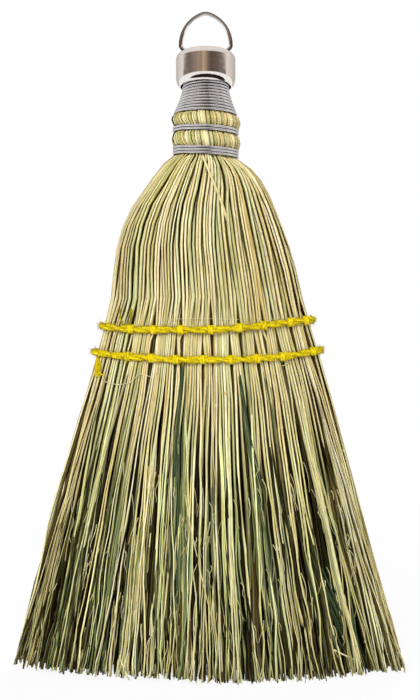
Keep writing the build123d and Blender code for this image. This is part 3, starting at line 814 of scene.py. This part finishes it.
class Strands:
    """A layer of stalks, side by side across the fan, or from front to back at one of its narrow ends."""

    def __init__(self, u, v, layer, tones, width=STALK_WIDTH, rank=1.0, shift=0, swell=0.0, across=True):
        self.u, self.v, self.layer, self.swell, self.across = u, v, layer, swell, across
        span = half_width(LOWER_ROW) if across else (1 - CROWN) * half_depth(LOWER_ROW)
        self.widths = packed_widths(2 * span, width)
        self.count = len(self.widths)
        self.rank = rank * ((np.arange(self.count) + shift) * GOLDEN_STEP % 1)
        self.base = drawn(STALK_COLOURS, self.count)
        place = u * (2 * np.cumsum(self.widths) / np.sum(self.widths) - 1) if across else u
        self.at_end = np.broadcast_to(np.abs(place) > END_SHARE, self.count)[:, None]
        self.tints = np.where(self.at_end, drawn(END_TINTS, self.count), drawn(SKIRT_TINTS, self.count))
        self.tones = np.maximum(tones, self.at_end * np.array([0, END_TONE]))

    def sunk(self, z):
        """How far the strands have sunk below the outside, because the neck has no room for all."""
        room = np.clip(half_width(z) / half_width(UPPER_ROW) / stalk_growth(z), 0, 1)
        room = np.where(z < UPPER_ROW, 1.0, room)
        return smoothstep(0, SINK_SOFTNESS, self.rank[:, None] - room)

    def closed_up(self, z):
        """Places from -1 to 1 and shares of the room, closed up over the stalks that have sunk."""
        room = self.widths[:, None] * (1 + SUNK_ROOM - self.sunk(z))
        edge = np.cumsum(room, axis=0)
        return (2 * edge - room) / edge[-1] - 1, room / edge[-1]

    def shape(self):
        """Centre lines, radii and shares of the width of all the strands."""
        z = np.tile(RING_LEVELS, (self.count, 1))
        place, room = self.closed_up(z)
        u = self.u * place if self.across else np.full(z.shape, self.u)
        v = np.full(z.shape, self.v) if self.across else self.v * place
        z[:, -1] = tip_heights(u[:, -1])
        u, v = self.strayed(z, u, v)
        depth = self.depth(z)
        radii = self.radii(z, room)
        return spot(z, u, v, radii + np.maximum(depth, -MOST_PROUD)), radii, u

    def strayed(self, z, u, v):
        """Shares of the width and depth, with all that turns the strands out of their way."""
        skirt = skirt_share(z)
        if self.layer == 0 and not self.swell:
            u = u + knot_push(u, z)
        locks = np.sort(rng.uniform(-1, 1, LOCKS))
        nearest = locks[np.abs(u[:, -1:] - locks).argmin(1)]
        u = u + (nearest - u[:, -1])[:, None] * LOCK_PULL * skirt ** LOCK_CURVE
        aside = scatter(TIP_STRAY, self.count) * skirt ** TIP_CURVE
        aside += scatter(SKIRT_CROSSING, self.count) * smoothstep(LOWER_ROW, CROSSED_HEIGHT, z)
        bend = wander(z, BEND_WAVES, 1) * (BENDS[0] + BENDS[1] * skirt)
        bend += wander(z, KINK_WAVES, KINK) * smoothstep(0, KINK_SHARE, skirt)
        crossing = scatter(DOME_CROSSING, self.count) * smoothstep(UPPER_ROW + CROSSING_START, FAN_TOP, z)
        twist = NECK_TWIST * np.maximum(z - FAN_TOP, 0)
        if self.across:
            u = u + twist * v
        else:
            v = v - twist * u * (90 - CORNER_ANGLE) / CORNER_ANGLE
        edge = 1 + WIDTH_ROOM + twist
        return np.clip(u + crossing + (aside + bend) / half_width(z), -edge, edge), v

    def depth(self, z):
        """How far the strands lie below the outside."""
        skirt = skirt_share(z)
        depth = self.layer * FAN_LAYER + SINK_DEPTH * self.sunk(z)
        depth += np.abs(scatter(DEPTH_SPREAD, self.count))
        depth += scatter(TIP_DEPTH[1], self.count, TIP_DEPTH[0]) * skirt
        depth += DARK_DEPTH * (1 - self.tints.mean(1, keepdims=True)) * skirt
        return depth + wander(z, *DEPTH_WAVES) * skirt

    def radii(self, z, room):
        """Radii of the strands along their length, from their shares of the room."""
        end_arc = 1 - CROWN + (math.radians(CORNER_ANGLE) - 1 + CROWN) * roundness(z)
        span = 2 * (half_width(z) if self.across else end_arc * half_depth(z))
        natural = self.widths[:, None] * stalk_growth(z) * (1 + self.swell * skirt_share(z))
        at_rows = np.exp(-((z - (UPPER_ROW + LOWER_ROW) / 2) / ROW_REACH) ** 2)
        in_dome = smoothstep(*(UPPER_ROW + np.array(DOME_START)), z)
        in_dome *= smoothstep(*(FAN_TOP - np.array(DOME_END)), z)
        in_neck = smoothstep(FAN_TOP, FAN_TOP + NECK_START, z)
        fill = between(STALK_FILL, self.count) + ROW_PACKING * at_rows
        fill = fill - DOME_THINNING * in_dome + NECK_PACKING * in_neck
        radii = fill * np.minimum(natural, STALK_ARC * span * room)
        return radii * (1 + wander(z, *RADIUS_WAVES))

    def toned(self, strands, tint, z):
        """Colours at heights on stalks: straw above, with a tint below, and painted shade in the inner
        layers and under the winding.
        """
        skirt = skirt_share(z)
        turned = smoothstep(0, TINT_SHARE, skirt)[..., None]
        tint = 1 - turned * (1 - tint[:, None])
        # Painted shade: the inner layers darker, given back a little at the tips
        above, below = self.tones[strands].T[..., None]
        tone = above + (below - above) * smoothstep(0, TONE_SHARE, skirt)
        tone = tone + (1 - tone) * TIP_TONE * smoothstep(TIP_SHARE, 1.0, skirt)
        tone = tone * np.exp(scatter(1, len(z)) * (TONE_SPREAD[0] + TONE_SPREAD[1] * skirt))
        # Painted shade of the stalks under the winding
        bound = smoothstep(WINDING[0][2], WINDING[0][2] + BOUND_REACH, z)
        tone = (tone * (1 - (1 - BOUND_SHADE) * bound))[..., None]
        shade = tone * (SHADE_TINT + (1 - SHADE_TINT) * np.clip(tone, 0, 1))
        return self.base[strands][:, None] * tint * shade

    def colours(self, paths, u):
        """Colour of each strand along its length, green in places, with painted shade where it has sunk."""
        z = paths[..., 2]
        shaded = self.toned(slice(None), self.tints, z)
        for place, reach, chance, top, foot in GREEN_PATCHES:
            picked = (np.abs(u[:, PATCH.ring] - place) < reach) & (rng.random(self.count) < chance)
            green = LEAF_GREENS[rng.integers(0, len(LEAF_GREENS), self.count)]
            height = smoothstep(top, top - PATCH.fade, z) * smoothstep(foot, foot + PATCH.fade, z)
            share = picked[:, None] * height * (self.layer == 0)
            shaded += (green[:, None] - shaded) * share[..., None]
        return shaded * (1 - (1 - SINK_SHADE) * self.sunk(z))[..., None]

    def parts(self):
        """Stalks that go up into the cap and those that end under the lower wire, with their first ring."""
        long = (self.rank < LONG_RANK) & (self.layer == 0)
        first = int((RING_LEVELS > LOWER_BAND[1][2]).sum())
        return [(picked, ring) for picked, ring in ((long, 0), (~long, first)) if picked.any()]


def on_strand(path, values, z):
    """Values along a strand, such as its places or colours, read at given heights."""
    heights = path[::-1, 2]
    return np.stack([np.interp(z, heights, column) for column in values[::-1].T], -1)


def fibres(builder, group, paths, out):
    """Fine fibres that leave the stalks in the skirt and run down to the tips."""
    parents = np.repeat(np.arange(len(paths)), rng.poisson(FIBRE.numbers[group.layer], len(paths)))
    count = len(parents)
    start = between(FIBRE.starts, count)
    tips = tip_heights(paths[parents, -1, 0] / half_width(0))[:, None]
    z = start + (tips - start) * FINE_SHARE
    line = np.array([on_strand(paths[p], paths[p], h) for p, h in zip(parents, z)])
    away = FINE_SHARE ** FIBRE.curve
    aside = scatter(FIBRE.stray, count) * start * away
    aside += wander(z, *FIBRE.waves) * away
    aside += wander(z, FIBRE.kinks, KINK) * np.minimum(1, FIBRE.kink_rise * FINE_SHARE)
    line[..., 0] = lean(z) + np.clip(line[..., 0] + aside - lean(z), -half_width(z), half_width(z))
    stand_off = scatter(FIBRE.out[1], count, FIBRE.out[0]) * np.minimum(1, FIBRE.out_rise * FINE_SHARE)
    line[..., 1] += out * stand_off
    line[..., 2] = z
    corners = FIBRE.sides[group.layer]
    width = between(FIBRE.radii, count) * np.linspace(*FIBRE.taper, FINE_RINGS) * FULLNESS[corners]
    own = (rng.random((count, 1)) < FIBRE.own_tint) & ~group.at_end[parents]
    tint = np.where(own, drawn(SKIRT_TINTS, count), group.tints[parents])
    colour = group.toned(parents, tint, z) * rng.lognormal(*FIBRE.tone, (count, 1, 1))
    builder.add_tubes(line, width, colour, corners, away=outward(line))


def knuckles(builder, paths, radii, colours):
    """Swollen joints of the stalks, darker than the stalk."""
    for stalk in rng.integers(0, len(paths), KNUCKLE.number):
        middle = rng.uniform(*KNUCKLE.heights)
        z = middle + rng.uniform(*KNUCKLE.lengths) * np.linspace(1, -1, len(KNUCKLE.profile))
        line = on_strand(paths[stalk], paths[stalk], z)
        line[:, 2] = z
        size = on_strand(paths[stalk], radii[stalk][:, None], z)[:, 0] * KNUCKLE.profile
        tint = on_strand(paths[stalk], colours[stalk], z) * KNUCKLE_TINT
        builder.add_tubes(line[None], size, tint, sides=7)


def shoots(builder, side):
    """Thin curly side shoots that stand off the skirt."""
    count = SHOOT.number
    top = between(SHOOT.tops, count)
    length = np.minimum(between(SHOOT.lengths, count), top - SHOOT.foot)
    z = top - length * FINE_SHARE
    curl = between(SHOOT.curls, count) * np.sin(between(SHOOT.waves, count) * FINE_SHARE)
    slant = scatter(SHOOT.slant, count) * length * FINE_SHARE
    u = between(SHOOT.places, count) + (curl + slant) / half_width(z)
    out = between(SHOOT.rises, count) * np.sin(math.pi * FINE_SHARE) + SHOOT.out
    tint = straw(SHOOT.kinds, count)
    radii = between(SHOOT.radii, count) * np.linspace(*SHOOT.taper, FINE_RINGS)
    builder.add_tubes(spot(z, u, side, -out), radii, tint, sides=3)


def strays(builder, side):
    """A few long thin strands that lie across the others."""
    count = STRAY.number
    top = between(STRAY.tops, count)
    foot = np.maximum(between(STRAY.feet, count), top - STRAY.length)
    z = top + (foot - top) * FINE_SHARE
    slant = scatter(STRAY.slant, count) * FINE_SHARE
    u = between(STRAY.places, count) + slant + wander(z, *STRAY.waves)
    tint = straw(STRAY.kinds, count)
    radii = between(STRAY.radii, count) * np.linspace(*STRAY.taper, FINE_RINGS)
    line = spot(z, np.clip(u, -STRAY.edge, STRAY.edge), side, -STRAY.out)
    builder.add_tubes(line, radii, tint, sides=5)


def laid_path(points, steps, out):
    """A smooth line on the front of the corn through (x, z) points, with its two ends in the corn."""
    place = np.linspace(0, 1, len(points))
    share = np.linspace(0, 1, steps)
    x, z = [smooth_curve(list(zip(place, values)))(share) for values in np.array(points, float).T]
    start, stop = smoothstep(LAID.start[1], 0, share), smoothstep(LAID.stop[1], 1, share)
    out = out - LAID.stop[0] * stop - LAID.start[0] * start
    return spot(z, (x - lean(z)) / half_width(z), -1.0, -out)[None]


def leaf_blades(builder, side):
    """Narrow green leaf blades among the outer strands."""
    belly = np.sqrt(np.sin(math.pi * np.linspace(*LEAF.belly, FINE_RINGS)))
    for place, end, reach, count, top, foot, greens in LEAF_TUFTS:
        for _ in range(count):
            first = top - rng.uniform(*LEAF.starts) * (top - foot)
            last = foot + rng.uniform(*LEAF.stops) * (top - foot)
            z = (first + (last - first) * FINE_SHARE)[None]
            bend = rng.normal(0, LEAF.stray) * FINE_SHARE + wander(z, *LEAF.waves)
            way = (top - z) / (top - foot)
            u = -side * (place + (end - place) * way + rng.uniform(-reach, reach)) + bend / half_width(z)
            width = rng.uniform(*LEAF.half_widths) * belly
            tint = LEAF_GREENS[rng.choice(greens)] * rng.lognormal(0, LEAF.tone)
            line = spot(z, u, side, rng.uniform(*LEAF.depths))
            away = outward(line)
            builder.add_tubes(line, width, tint, sides=6, flat=LEAF.flatness, away=away, edge=LEAF_EDGE_SHADE)


def cover_strands(side):
    """Layers of the front or back cover, outermost first."""
    return [
        Strands(1.0, float(side), layer, LAYER_SHADE_TONES[layer], shift=RANK_SHIFT * layer)
        for layer in range(COVER_LAYERS)
    ]


def side_strands(side):
    """Layers that close the narrow left or right end of the fan."""
    return [
        Strands(place, SIDE_REACH, layer, LAYER_SHADE_TONES[layer], rank=SIDE_RANK, across=False)
        for layer, place in enumerate(side * (1 - SIDE_STEP * np.arange(SIDE_LAYERS)))
    ]


def inside_strands():
    """Rows of tufts of the core, which fill the fan behind its covers."""
    return [
        Strands(INSIDE_REACH, place, 0, INSIDE_SHADE_TONES, INSIDE_WIDTH, rank=0.0, swell=INSIDE_SWELL)
        for place in INSIDE_ROWS
    ]


def neck_core(builder):
    """The bound stalks inside the neck, which show only as a dark ground between the outer ones: a core in
    painted shade.
    """
    z = np.array([z for z, _ in neck_stations()])
    path = np.stack([np.zeros(len(z)), np.zeros(len(z)), z], -1)
    colour = STALK_COLOURS[0][0] * CORE_SHADE
    builder.add_tubes(path[None], half_width(z) - CORE_INSET, colour, sides=32)


def corn():
    """The five bundles of corn."""
    material = corn_material()
    bundles = {
        "front_cover": (cover_strands(-1), -1),
        "back_cover": (cover_strands(1), 1),
        "left_shoulder": (side_strands(-1), 0),
        "right_shoulder": (side_strands(1), 0),
        "inside": (inside_strands(), 0),
    }
    for name, (groups, out) in bundles.items():
        builder = MeshBuilder()
        for group in groups:
            paths, radii, u = group.shape()
            colours = group.colours(paths, u)
            # Painted shade on the flanks of the stalks, lighter in the neck
            in_neck = smoothstep(*(FAN_TOP + np.array(NECK_EDGE_HEIGHTS)), paths[..., 2])
            edges = EDGE_SHADE + (NECK_EDGE - EDGE_SHADE) * in_neck[..., None, None]
            corners = INSIDE_SIDES if name == "inside" else COVER_SIDES[group.layer]
            full = radii * FULLNESS[corners]
            for picked, ring in group.parts():
                shown = [values[picked, ring:] for values in (paths, full, colours, outward(paths), edges)]
                builder.add_tubes(*shown[:3], corners, away=shown[3], edge=shown[4])
            fibres(builder, group, paths, out)
            if out and group.layer == 0:
                knuckles(builder, paths, radii, colours)
        if name == "inside":
            neck_core(builder)
        if out:
            leaf_blades(builder, out)
            shoots(builder, out)
            strays(builder, out)
        if name == "front_cover":
            for points, radius in LAID_STRANDS:
                path = laid_path(points, steps=12, out=0.1)
                builder.add_tubes(path, radius, STALK_COLOURS[0][0], sides=8)
        builder.build(f"{name}_strands", material, "broom", "corn", f"{name}_corn")


def winding_path(node, turns, pitch):
    """Centre line of wire wound close round the neck, centred on a CAD winding."""
    low, high = node_box(node)
    turn = np.linspace(0, turns, turns * WIRE.steps_per_turn + 1)
    z = (low[2] + high[2]) / 2 + pitch * (turn - turns / 2)
    if node == "neck_winding":
        inside = half_width(z) + WIRE.press * smoothstep(CAP[0][2] - WIRE.press_reach, CAP[0][2], z)
    else:
        inside = (high[0] - low[0]) / 2 - WIRE.inset
    angle = math.tau * turn + math.pi / 2
    x = (inside + WIRE.radius) * np.cos(angle)
    y = (inside + WIRE.radius) * np.sin(angle)
    return np.stack([x, y, pulled(x, y, z)], -1)[None]


def wires():
    """The neck winding, the two bands and the hidden tie."""
    material = wire_material()
    for node, (turns, pitch) in WINDINGS.items():
        path = winding_path(node, turns, pitch)
        tones = between(WIRE.tones, WIRE.tones_per_turn * turns + 1)[:, 0]
        tone = np.interp(np.linspace(0, len(tones) - 1, path.shape[1]), np.arange(len(tones)), tones)
        # Painted reflection across the wires, by their place round the neck
        painted_streaks = smooth_curve(WIRE_PAINTED_STREAKS)(path[0, :, 0] / np.hypot(path[0, :, 0], path[0, :, 1]))
        tint = (tone * painted_streaks)[:, None] * np.ones(3)
        # Painted shade in the grooves between the turns
        away = (outward(path) + np.array([0, 0, WIRE.lean])) / math.hypot(1, WIRE.lean)
        builder = MeshBuilder()
        builder.add_tubes(path, WIRE.radius, tint, sides=14, up=(0, 0, 1), away=away, edge=WIRE_GROOVE_SHADE)
        builder.build(f"{node}_wire", material, "broom", "binding_wire", node)


def row_outline(row, rise):
    """Closed line round the corn at a sewn row, evenly spaced, just outside it."""
    across = np.linspace(-1, 1, num=121)
    ends = np.linspace(-ROW.end_reach, ROW.end_reach, num=15)
    edge = np.ones(len(ends))
    places = [(across, -1.0), (edge, ends), (across[::-1], 1.0), (-edge, ends[::-1])]
    ring = np.concatenate([spot(row, u, v, -ROW.lift) for u, v in places])
    for _ in range(ROW.smoothings):
        ring = (np.roll(ring, 1, 0) + 2 * ring + np.roll(ring, -1, 0)) / 4
    closed = np.concatenate([ring, ring[:1]])
    length = run_length(closed)
    even = np.linspace(0, length[-1], num=721)
    line = np.stack([np.interp(even, length, column) for column in closed.T], -1)
    line[:, 2] = row + smooth_curve(rise)(line[:, 0] / np.abs(line[:, 0]).max())
    return line


def plies(line):
    """Paths of the plies, twisted round the line of a cord."""
    side, lift = side_frame(line, (0, 0, 1))
    paths = []
    for ply in range(TWINE.plies):
        angle = (math.tau * (run_length(line) / TWINE.pitch + ply / TWINE.plies))[:, None]
        paths.append(line + TWINE.offset * (np.cos(angle) * side + np.sin(angle) * lift))
    return np.array(paths)


def fuzz(builder, line):
    """Fine hairs that stand off the cord."""
    side, lift = side_frame(line, (0, 0, 1))
    share = np.linspace(0, 1, num=4)[:, None]
    root = TWINE.offset + TWINE.ply - HAIR.root
    paths = []
    for i in rng.integers(HAIR.seam, len(line) - HAIR.seam, HAIR.number):
        angle = rng.uniform(0, math.tau)
        out = math.cos(angle) * side[i] + math.sin(angle) * lift[i]
        paths.append(line[i] + out * (root + HAIR.length * share) + rng.normal(0, HAIR.stray, 3) * share)
    tints = TWINE_YELLOW * between(HAIR.tones, HAIR.number)
    builder.add_tubes(np.array(paths), HAIR.radius, tints, sides=3, up=HAIR.up)


def stitch_path(line, x, side):
    """A loop of twine round the cord at the front or back, with its ends in the corn."""
    half = line[line[:, 1] * side > 0]
    centre = half[np.abs(half[:, 0] - x).argmin()]
    turn = np.linspace(0, KNOT.turns, num=49)
    angle = math.tau * turn + math.pi / 2
    along = (turn / KNOT.turns - 0.5) * KNOT.length
    return centre + np.stack([along, -side * KNOT.reach * np.cos(angle), KNOT.reach * np.sin(angle)], -1)


def twine_row(name, row, rise, knots, material):
    """One sewn row: the twisted cord, and stitches that pass through the corn and round the cord."""
    line = row_outline(row, rise)
    builder = MeshBuilder()
    tints = TWINE_YELLOW * between(TWINE.tones, TWINE.plies)
    cord = plies(line)
    away = outward(cord)
    builder.add_tubes(cord, TWINE.ply, tints, sides=10, up=(0, 0, 1), away=away, edge=TWINE_EDGE_SHADE)
    fuzz(builder, line)
    builder.build(f"{name}_twine", material, "broom", "twine", f"{name}_twine_band")
    builder = MeshBuilder()
    for knot in knots:
        loops = [stitch_path(line, knot, side) for side in (-1, 1)]
        for loop in loops:
            tint = TWINE_YELLOW * rng.uniform(*KNOT.tones)
            builder.add_tubes(loop[None], KNOT.ply, tint, sides=8, up=(1, 0, 0))
        run = np.linspace(loops[0][0], loops[1][0], num=5)
        builder.add_tubes(run[None], KNOT.ply, TWINE_YELLOW, sides=8, up=(1, 0, 0))
    builder.build(f"{name}_knots", material, "broom", "twine", f"{name}_stitches")


def twine_ends(material):
    """The frayed ends of the two rows, and thin threads that came loose."""
    builder = MeshBuilder()
    for points, count, spread, radii, tone in TWINE_ENDS:
        for _ in range(count):
            frayed = points + scatter(spread, len(points)) * FRAY.shares
            path = laid_path(frayed, steps=16, out=rng.uniform(*FRAY.out))
            tint = TWINE_YELLOW * tone * rng.uniform(*FRAY.tones)
            builder.add_tubes(path, rng.uniform(*radii), tint, sides=6)
    for points, radius in THREADS:
        path = laid_path(points, steps=24, out=0.4)
        builder.add_tubes(path, radius, THREAD_COLOUR, sides=5)
    builder.build("twine_ends", material, "broom", "twine", "twine_tails")


def twine():
    """The sewn rows and their loose ends."""
    material = twine_material()
    twine_row("upper", UPPER_ROW, UPPER_LINE, UPPER_KNOTS, material)
    twine_row("lower", LOWER_ROW, LOWER_LINE, LOWER_KNOTS, material)
    twine_ends(material)


def metal_parts():
    """Finish of the cap and the ring, which keep their CAD shape."""
    finishes = {
        "cap_shell": nickel_material("cap_nickel", CAP_NICKEL),
        "hanger_ring": nickel_material("ring_nickel", 1.0, ring_painted_light),
    }
    for node, material in finishes.items():
        mesh = frame["nodes"][node].data
        mesh.materials.clear()
        mesh.materials.append(material)


def sickle(graph, place, radius):
    """1 on the dark patch of the floor, a painted reflection for the metal."""
    apart = graph.math("LOGARITHM", graph.math("DIVIDE", radius, SICKLE.radius), math.e)
    apart = graph.math("DIVIDE", apart, SICKLE.reach)
    x, y, _ = graph.split(place)
    ahead = graph.math("DIVIDE", graph.ahead(x, y, SICKLE.turn), radius)
    behind = graph.math("SUBTRACT", 1.0, ahead)
    inside = graph.math("SUBTRACT", 1.0, graph.math("MULTIPLY", apart, apart))
    inside = graph.math("SUBTRACT", inside, graph.math("MULTIPLY", behind, SICKLE.taper))
    return graph.step(inside, 0.0, SICKLE.edge)


def floor():
    """Pale floor that turns white away from the broom and keeps a soft shadow round it, with a dark patch
    that shows only in the metal as a painted reflection.
    """
    mesh = bpy.data.meshes.new("floor")
    corners = [(-1, -1, 0), (1, -1, 0), (1, 1, 0), (-1, 1, 0)]
    mesh.from_pydata([Vector(corner) * FLOOR.size for corner in corners], [], [(0, 1, 2, 3)])
    plane = added("floor", mesh)
    nodes = Nodes("floor")
    place = nodes.place("Object")
    radius = nodes.vector("LENGTH", place)["Value"]
    white = nodes.step(radius, *FLOOR.fade, FLOOR.white, 1.0)
    dark = nodes.math("MULTIPLY", sickle(nodes, place, radius), SICKLE.depth)
    dark = nodes.math("MULTIPLY", nodes.is_glossy(), dark)
    glow = nodes.add("Emission", {"Strength": nodes.math("SUBTRACT", 1.0, dark)})
    mesh.materials.append(nodes.shade({
        "Base Color": (FLOOR.grey, FLOOR.grey, FLOOR.grey, 1),
        "Roughness": FLOOR.roughness,
    }))
    share = nodes.math("MULTIPLY", white, nodes.seen())
    shown = nodes.add("MixShader", [share, nodes.shader.outputs["BSDF"], glow.outputs["Emission"]])
    nodes.feed(nodes.tree.nodes["Material Output"], {"Surface": shown.outputs["Shader"]})


def world():
    """White room, with a dim warm side in front that shows only in the metal."""
    room = bpy.data.worlds.new("room")
    room.use_nodes = True
    bpy.context.scene.world = room
    room.node_tree.nodes.clear()
    graph = Graph(room.node_tree)
    x, y, z = graph.split(graph.place("Generated"))
    ahead = graph.ahead(x, y, ROOM.turn)
    arch = graph.math("ADD", z, graph.step(ahead, 0.0, ROOM.arch_reach, ROOM.arch, 0.0))
    dim = graph.math("MULTIPLY", graph.step(ahead, *ROOM.front_edge), graph.step(arch, *ROOM.top, 1.0, 0.0))
    dim = graph.math("MULTIPLY", dim, graph.is_glossy())
    front = graph.ramp(graph.math("MULTIPLY_ADD", x, 0.5, 0.5), *ROOM_COLOURS)
    behind = graph.ramp(graph.step(ahead, *ROOM.back_edge), (0.0, ROOM.back), (1.0, ROOM.side))
    mirrored = graph.mix(graph.step(z, *ROOM.ceiling_edge), behind, (*ROOM.ceiling, 1))
    around = graph.mix(graph.is_glossy(), (1, 1, 1, 1), mirrored)
    shown = graph.add("Background", {"Color": graph.mix(dim, around, front)})
    ambient = graph.add("Background", {"Strength": AMBIENT})
    both = graph.add("MixShader", [graph.seen(), ambient.outputs[0], shown.outputs[0]])
    graph.add("OutputWorld", {"Surface": both.outputs[0]})


def studio():
    """Two soft lights in front and one behind, which don't show in the metal, and the camera."""
    for name, (place, size, power) in LIGHTS.items():
        data = bpy.data.lights.new(name, "AREA")
        data.size = size * MM
        data.energy = power
        light = added(name, data)
        light.location = Vector(place) * MM
        light.rotation_euler = (Vector(place) - Vector(LIGHT_AIM)).to_track_quat("Z", "Y").to_euler()
        light.visible_glossy = False
    data = bpy.data.cameras.new("camera")
    data.lens = CAMERA.lens
    data.sensor_width = CAMERA.sensor
    data.clip_start = CAMERA.near * MM
    camera = added("camera", data)
    camera.location = Vector((CAMERA.x, -CAMERA.distance, CAMERA.height)) * MM
    camera.rotation_euler = (math.radians(90), 0, 0)
    bpy.context.scene.camera = camera
    bpy.context.scene.view_settings.view_transform = "Standard"


corn()
wires()
twine()
metal_parts()
floor()
world()
studio()

bpy.context.view_layer.update()
